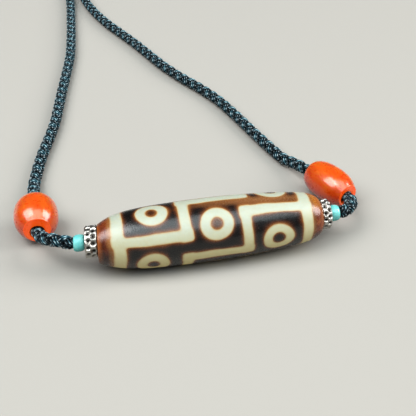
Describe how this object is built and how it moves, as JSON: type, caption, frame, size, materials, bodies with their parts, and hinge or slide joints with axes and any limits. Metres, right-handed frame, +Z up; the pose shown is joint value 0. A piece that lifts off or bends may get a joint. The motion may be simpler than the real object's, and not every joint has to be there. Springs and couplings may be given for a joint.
{
  "type": "dzi bead necklace",
  "caption": "Necklace of a long patterned agate bead with silver, turquoise and coral spacer beads on a round braided cord, laid flat as one closed loop.",
  "frame": {"origin": "on the surface the necklace lies on, under the middle of the box round all its beads", "axes": "+X along the long bead, from its square-cut end to its rounded end; +Y from the long bead towards the back of the neck loop; +Z up from the surface"},
  "size_m": [0.0764, 0.2112, 0.0112],
  "materials": {
    "agate": "polished, dark brown with cream lines and eyes",
    "silver": "worn silver with dark pits",
    "turquoise": "satin",
    "coral": "glossy",
    "thread": "matt",
    "cord": "braided, matt with a soft sheen"
  },
  "bodies": {
    "root": {"dzi_bead": "agate", "end_cap_left": "silver", "end_cap_right": "silver", "turquoise_left": "turquoise", "turquoise_right": "turquoise", "coral_left": "coral", "coral_right": "coral", "core_thread": "thread", "cord_left": "cord", "cord_right": "cord", "closing_knot": "cord"}
  },
  "joints": []
}
